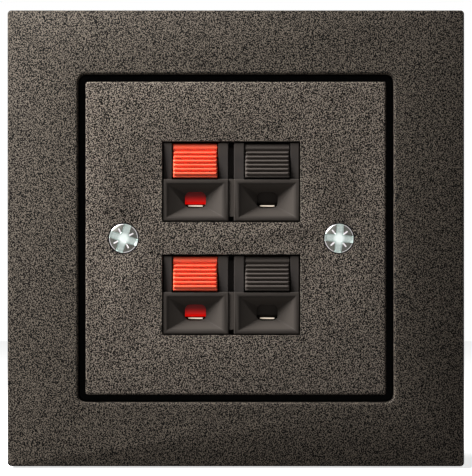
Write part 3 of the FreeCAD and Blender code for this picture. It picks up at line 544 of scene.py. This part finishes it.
def ridgeRecipe():
    recipe = Recipe("ridgeRow", {
        "Geometry": "Geometry", "Ridges": "Int", "Pitch": "Float", "Width": "Float", "Foot": "Float", "Crest": "Float",
        "Height": "Float", "Lean": "Float", "First": "Vector", "Finish": "Material"})
    width, foot, lean, pitch = [recipe.given(label) for label in ("Width", "Foot", "Lean", "Pitch")]
    block = recipe.add("GeometryNodeMeshCube", None, {
        "Size": recipe.vector(width, foot, 0.16 * mm), "Vertices X": 70, "Vertices Y": 13, "Vertices Z": 2})
    here = recipe.add("GeometryNodeInputPosition")
    across, up, out = [recipe.add("ShaderNodeSeparateXYZ", None, {"Vector": here}, axis) for axis in range(3)]
    crown = abs(up).between(foot * 0.5, recipe.given("Crest") * 0.2)
    ends = (width * 0.5 - abs(across)).between(0.0, 0.24 * mm)
    lift = recipe.work("GREATER_THAN", out, 0.0) * crown * ends * recipe.given("Height") - 0.1 * mm
    shaped = recipe.add("GeometryNodeSetPosition", None, {"Geometry": block, "Offset": recipe.vector(z=lift)})
    shaped = recipe.add("GeometryNodeSetShadeSmooth", None, {"Geometry": shaped})
    down = recipe.vector(y=recipe.work("SINE", lean) * pitch * -1.0, z=recipe.work("COSINE", lean) * pitch * -1.0)
    spots = recipe.add("GeometryNodeMeshLine", None, {
        "Count": recipe.given("Ridges"), "Start Location": recipe.given("First"), "Offset": down})
    row = recipe.add("GeometryNodeInstanceOnPoints", None, {
        "Points": spots, "Instance": shaped, "Rotation": recipe.vector(x=math.pi / 2 - lean)})
    recipe.deliver(recipe.add("GeometryNodeJoinGeometry", None, {"Geometry": [recipe.given("Geometry"), row]}))
    return recipe


ridgeRow = ridgeRecipe()


def leverBlank(name, pole, level):
    sweep, front, back = lever["sweep"], lever["tongueFront"], lever["tongueFront"] + lever["tongueThick"]
    toe = -lever["front"] - lever["toeReach"]
    under = [(y, -math.sqrt(sweep ** 2 - y ** 2), 0) for y in (toe + (front - toe) * step / 9 for step in range(10))]
    under[0] = (*under[0][:2], 0.14)
    corners = [
        (*onLeverFace(0), 0.24), (*onLeverFace(lever["band"]), 0.14),
        (*onLeverFace(lever["band"] + lever["groove"], lever["groove"]), 0.14),
        (*onLeverFace(lever["length"], lever["groove"]), 0.1), *under,
        (back, lever["heel"] - sweep, 0.1), (back, lever["shelf"] - sweep, 0),
        (lever["knuckle"], -0.05, 0), (lever["knuckle"], lever["knuckle"], lever["knuckle"]),
    ]
    place = (pole, lever["pivotDepth"], level + lever["pivotUp"])
    half = lever["width"] / 2
    blank = prism(name, outline(corners), -half, half, place)
    faceIn = -lever["front"] + lever["wall"]
    hollow = [
        (back + 1, lever["shelf"] - sweep, 0),
        (faceIn - lever["length"] * math.sin(math.radians(lever["lean"])), lever["shelf"] - sweep, 0.3),
        (faceIn, -lever["knuckle"] - lever["web"], 0.3), (back + 1, -lever["knuckle"] - lever["web"], 0),
    ]
    combine(blank, "DIFFERENCE", prism("hollow", outline(hollow), lever["side"] - half, half - lever["side"], place))
    tongue = [
        (front, lever["shelf"] - sweep - 0.5, 0), (front, lever["tongueTip"], 0.68),
        (back, lever["tongueTip"], 0.68), (back, lever["shelf"] - sweep - 0.5, 0),
    ]
    pin = [(lever["trunnion"] * math.cos(math.tau * n / 40), lever["trunnion"] * math.sin(math.tau * n / 40)) for n in range(40)]
    wide = lever["tongueWide"] / 2
    reach = lever["trunnionSpan"] / 2
    combine(blank, "UNION", prism("tongue", outline(tongue, 8), -wide, wide, place), prism("pin", pin, -reach, reach, place))
    return roundEdges(blank, lever["edge"])


for row, level in (("upper", lever["level"]), ("lower", -lever["level"])):
    for colour, pole, finish in (("red", -lever["pole"], "leverRed"), ("black", lever["pole"], "leverBlack")):
        node = f"{row}_{colour}_lever"
        thing = leverBlank(node + "_dressed", pole, level)
        first = onLeverFace(lever["first"], lever["groove"])
        ridgeRow.grow(thing, {
            "Ridges": lever["ridges"], "Pitch": lever["pitch"] * mm, "Width": lever["width"] * mm,
            "Foot": lever["foot"] * mm, "Crest": lever["crest"] * mm, "Height": lever["height"] * mm,
            "Lean": math.radians(lever["lean"]),
            "First": (pole * mm, (lever["pivotDepth"] + first[0]) * mm, (level + lever["pivotUp"] + first[1]) * mm),
            "Finish": finishes[finish]})
        install(thing, bodyOf[node], slots[node], node)
print("levers made")


# Plate screws: raised countersunk heads with a cross recess and four fine marks between its arms

plateScrew = {
    "across": 20.0, "front": -9.5, "head": 2.74, "dome": 0.6, "rim": 0.09, "ring": 0.18, "shank": 1.5, "long": 11.4,
    "pitch": 0.5, "threadDepth": 0.28, "turns": {"left": -18.0, "right": -5.0},
    "armMouth": (7.0, 1.45), "armFloor": (4.4, 1.0), "armDeep": 0.5,
    "markMouth": (1.5, 0.3), "markFloor": (1.3, 0.24), "markOut": 1.75,
}


def gather(name, *things):
    # several meshes as one, with their own materials kept
    work = bmesh.new()
    materials = []
    for thing in things:
        first = len(work.faces)
        own = list(thing.data.materials)
        materials += [material for material in own if material not in materials]
        work.from_mesh(thing.data)
        work.faces.ensure_lookup_table()
        for face in work.faces[first:]:
            face.material_index = materials.index(own[face.material_index])
        bpy.data.objects.remove(thing)
    mesh = bpy.data.meshes.new(name)
    work.to_mesh(mesh)
    work.free()
    for material in materials:
        mesh.materials.append(material)
    return newThing(name, mesh)


def threaded(name, centre, start, end, point, outer, deep, pitch, steps=30):
    # a screw thread along Y, narrowing towards its point
    rows = int((end - start) / pitch * 6)
    points, faces = [], []
    for row in range(rows + 1):
        depth = start + (end - start) * row / rows
        tip = min(1.0, 0.55 + abs(depth - point) / pitch * 0.4)
        for step in range(steps):
            phase = (depth / pitch + step / steps) % 1.0
            radius = tip * (outer - deep * (1 - abs(2 * phase - 1)) ** 0.8)
            angle = math.tau * step / steps
            points.append((centre[0] + radius * math.cos(angle), centre[1] + depth, centre[2] + radius * math.sin(angle)))
    for row in range(rows):
        for step in range(steps):
            a, b = row * steps + step, row * steps + (step + 1) % steps
            faces.append((a, b, b + steps, a + steps))
    faces += [tuple(range(steps)), tuple(range(rows * steps, (rows + 1) * steps))]
    return newThing(name, meshFrom(name, points, faces))


def crossCut(thing, deep, mouth, floor, front, marks=None):
    # two crossing tapers, and a fine mark between each pair of arms
    cutters = [wedge("arm", front, front + deep, mouth, floor, (0, 0), side) for side in (0, 90)]
    for side in (45, 135, 225, 315):
        if marks:
            spot = [marks["markOut"] * part for part in (math.cos(math.radians(side)), math.sin(math.radians(side)))]
            cutters.append(wedge("mark", front, front + 0.35, marks["markMouth"], marks["markFloor"], spot, side))
    return combine(thing, "DIFFERENCE", *cutters)


def makePlateScrew():
    # about the origin: the dome stands out to the front, the shank goes back
    head, dome, rim = plateScrew["head"], plateScrew["dome"], plateScrew["rim"]
    ball = (head ** 2 + dome ** 2) / (2 * dome)
    inner = head - plateScrew["ring"]
    profile = [(r, ball - dome - math.sqrt(ball ** 2 - r ** 2)) for r in (inner * n / 14 for n in range(15))]
    profile += [(head - 0.05, rim * 0.6), (head, rim * 1.4), (head - rim, rim * 2.4)]
    profile += [(plateScrew["shank"], head - plateScrew["shank"] + rim), (0, head - plateScrew["shank"] + rim)]
    top = turned("head", profile, (0, 0, 0), 96)
    crossCut(top, plateScrew["armDeep"] + dome, plateScrew["armMouth"], plateScrew["armFloor"], -dome - 0.02, plateScrew)
    roundEdges(top, 0.03, 2, 25)
    top.data.materials.clear()
    for finish in ("screwFace", "screwBright", "screwRim", "screwMark"):
        top.data.materials.append(finishes[finish])
    for face in top.data.polygons:
        spot = face.center / mm
        out = math.hypot(spot.x, spot.z)
        level = ball - dome - math.sqrt(max(ball ** 2 - out ** 2, 0))
        cut = spot.y > level + 0.02 and out < head - rim
        beside = min(abs(spot.x), abs(spot.z)) > plateScrew["armMouth"][1] / 2 + 0.08
        # dome, recess, rim and marks take zinc tones that carry painted reflection and painted highlight
        face.material_index = (3 if beside else 1) if cut else 2 if out > head - plateScrew["ring"] else 0
    shank = threaded(
        "shank", (0, 0, 0), head - plateScrew["shank"] - 0.1, plateScrew["long"], plateScrew["long"],
        plateScrew["shank"], plateScrew["threadDepth"], plateScrew["pitch"])
    shank.data.materials.append(finishes["zinc"])
    for face in shank.data.polygons:
        face.use_smooth = True
    return gather("plateScrew", top, shank)


pattern = makePlateScrew()
for side, across in (("left", -plateScrew["across"]), ("right", plateScrew["across"])):
    screw = newThing(f"plate_screw_{side}_dressed", pattern.data.copy())
    turn = Matrix.Rotation(-math.radians(plateScrew["turns"][side]), 4, "Y")
    screw.data.transform(Matrix.Translation(Vector((across, plateScrew["front"], 0)) * mm) @ turn)
    install(screw, "plate", "zinc_plated_steel", f"plate_screw_{side}")
bpy.data.objects.remove(pattern)
print("plate screws made")


# Fixing screws: one small pan head, set out four times from behind

fixingScrew = {"across": 32.6, "level": 21.0, "seat": -5.8, "head": 2.4, "high": 1.4, "shank": 0.95, "long": 3.0, "seed": 5}


def makeFixingScrew():
    head, high, shank = fixingScrew["head"], fixingScrew["high"], fixingScrew["shank"]
    profile = [(0, 0), (head - 0.08, 0), (head, 0.08), (head, high * 0.45)]
    profile += [(head - high * 0.55 * (1 - math.cos(a)), high * (0.45 + 0.55 * math.sin(a)))
                for a in (math.radians(15 * n) for n in range(1, 7))]
    top = turned("panHead", profile + [(0, high)], (0, 0, 0), 48)
    top.data.materials.append(finishes["zinc"])
    crossCut(top, -1.2, (2.9, 0.75), (1.2, 0.5), high + 0.02)
    roundEdges(top, 0.04)
    point = threaded("point", (0, 0, 0), -fixingScrew["long"], 0.1, -fixingScrew["long"], shank, 0.2, 0.6, 24)
    point.data.materials.append(finishes["zinc"])
    for face in point.data.polygons:
        face.use_smooth = True
    return gather("fixingScrew", top, point)


def screwRecipe():
    recipe = Recipe("screwSet", {
        "Geometry": "Geometry", "Across": "Float", "Level": "Float", "Seat": "Float", "Seed": "Int", "Finish": "Material"})
    grid = recipe.add("GeometryNodeMeshGrid", None, {
        "Size X": recipe.given("Across"), "Size Y": recipe.given("Level"), "Vertices X": 2, "Vertices Y": 2})
    stood = recipe.add("GeometryNodeTransform", None, {
        "Geometry": grid, "Rotation": (math.pi / 2, 0, 0), "Translation": recipe.vector(y=recipe.given("Seat"))})
    turn = recipe.add("FunctionNodeRandomValue", {"data_type": "FLOAT"}, {
        2: 0.0, 3: math.pi / 2, "Seed": recipe.given("Seed")}, 1)
    recipe.deliver(recipe.add("GeometryNodeInstanceOnPoints", None, {
        "Points": stood, "Instance": recipe.given("Geometry"), "Rotation": recipe.vector(y=turn)}))
    return recipe


screwSet = screwRecipe()
screws = makeFixingScrew()
screws.name = "fixing_screws_dressed"
screwSet.grow(screws, {
    "Across": fixingScrew["across"] * mm, "Level": fixingScrew["level"] * mm, "Seat": fixingScrew["seat"] * mm,
    "Seed": fixingScrew["seed"], "Finish": finishes["zinc"]})
install(screws, "plate", "zinc_plated_steel", *[node for node in nodes if "fixing_screw" in node])
print("fixing screws made")


# The other mouldings and pressings, with their edges broken

edges = {
    "cover_frame": (0.12, "cover"), "centre_plate": (0.1, "plate"), "support_frame": (0.1, "sheet"),
    "terminal_body": (0.2, "housing", -7.6), "rear_board": (0.08, "board"), "contact": (0.04, "contact"),
    "spring": (0.04, "spring"),
}
groove = {"half": 0.52, "floor": -9.0, "root": -7.7, "low": -6.5, "high": 0.52}
for node in nodes:
    for key, (width, finish, *front) in edges.items():
        if node.endswith(key):
            thing = moulded(node, width, finish, *front)
            if key == "terminal_body":  # the groove between the funnels is shallow, and runs out in a notch
                level = lever["level"] if "upper" in node else -lever["level"]
                line = [(groove["root"], groove["low"]), (groove["root"], groove["high"]),
                        (groove["floor"], groove["high"]), (groove["floor"], groove["low"])]
                filler = prism("grooveFloor", line, -groove["half"], groove["half"], (0, 0, level))
                dress(filler, finish)
                thing = gather(node + "_dressed", thing, roundEdges(filler, 0.08))
            install(thing, bodyOf[node], slots[node], node)
            if key == "spring":  # its front leg is pushed back by the lever; here it only gets a mesh of its own
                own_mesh(thing)
print("edges broken")


# Stage, light and camera

camera = {"across": 0.876, "up": 0.06, "away": 500.0, "pixels": 2642.5, "imageWide": 472, "imageHigh": 476}
lens = bpy.data.cameras.new("camera")
lens.sensor_width = 36.0
lens.lens = camera["pixels"] * lens.sensor_width / max(camera["imageWide"], camera["imageHigh"])
lens.clip_start = 0.01
eye = bpy.data.objects.new("camera", lens)
eye.location = (camera["across"] * mm, -camera["away"] * mm, camera["up"] * mm)
eye.rotation_euler = (math.radians(90), 0, 0)
bpy.context.scene.collection.objects.link(eye)
bpy.context.scene.camera = eye
bpy.context.scene.view_settings.view_transform = "Standard"

light = {
    "keyFrom": (-0.65, -0.33, 0.65), "keyAway": 0.3, "keySize": 0.15, "keyPower": 2.8,
    "room": 0.035,
}


def addLamp(name, direction, away, wide, power, tint=(1, 1, 1)):
    lamp = bpy.data.lights.new(name, "AREA")
    lamp.shape = "DISK"
    lamp.size = wide
    lamp.energy = power
    lamp.color = tint
    thing = bpy.data.objects.new(name, lamp)
    aim = Vector(direction).normalized()
    thing.location = aim * away
    thing.rotation_mode = "QUATERNION"
    thing.rotation_quaternion = aim.to_track_quat("Z", "Y")
    thing.visible_camera = False
    bpy.context.scene.collection.objects.link(thing)
    return thing


addLamp("keyLamp", light["keyFrom"], light["keyAway"], light["keySize"], light["keyPower"])


def seenRays(nodes):
    # 1 for what the camera sees, itself or in a gloss or a clear material, and 0 for the light on the object
    kinds = ("Is Camera Ray", "Is Glossy Ray", "Is Transmission Ray")
    rays = [nodes.add("ShaderNodeLightPath", out=kind) for kind in kinds]
    return rays[0], nodes.work("MAXIMUM", nodes.work("MAXIMUM", rays[0], rays[1]), rays[2])


world = bpy.data.worlds.new("studio")
world.use_nodes = True
bpy.context.scene.world = world
sky = NodeTree()
sky.tree = world.node_tree
background = sky.tree.nodes["Background"]
background.inputs["Color"].default_value = (1, 1, 1, 1)
strength = sky.add("ShaderNodeMapRange", None, {"Value": seenRays(sky)[1], "To Min": light["room"], "To Max": 1.0})
sky.feed(background.inputs["Strength"], strength)

stand = {"under": 0.4, "reach": 600.0, "pale": (250, 250, 250), "bounce": (120, 118, 116), "white": 0.75}
ground = Finish("groundPaint", Roughness=0.9, Specular_IOR_Level=0.0)
byCamera, seen = seenRays(ground)
ground.wear(
    Base_Color=ground.blend(byCamera, paint(*stand["bounce"]), paint(*stand["pale"])),
    Emission_Color=ground.blend(seen, (0, 0, 0, 1), (1, 1, 1, 1)), Emission_Strength=stand["white"])
low, reach = cadBox[0][2] / mm - stand["under"], stand["reach"]
corners = [(-reach, -reach, low), (reach, -reach, low), (reach, reach, low), (-reach, reach, low)]
floor = newThing("floor", meshFrom("floor", corners, [(0, 1, 2, 3)]))
floor.data.materials.append(ground.material)
print("stage and light set")
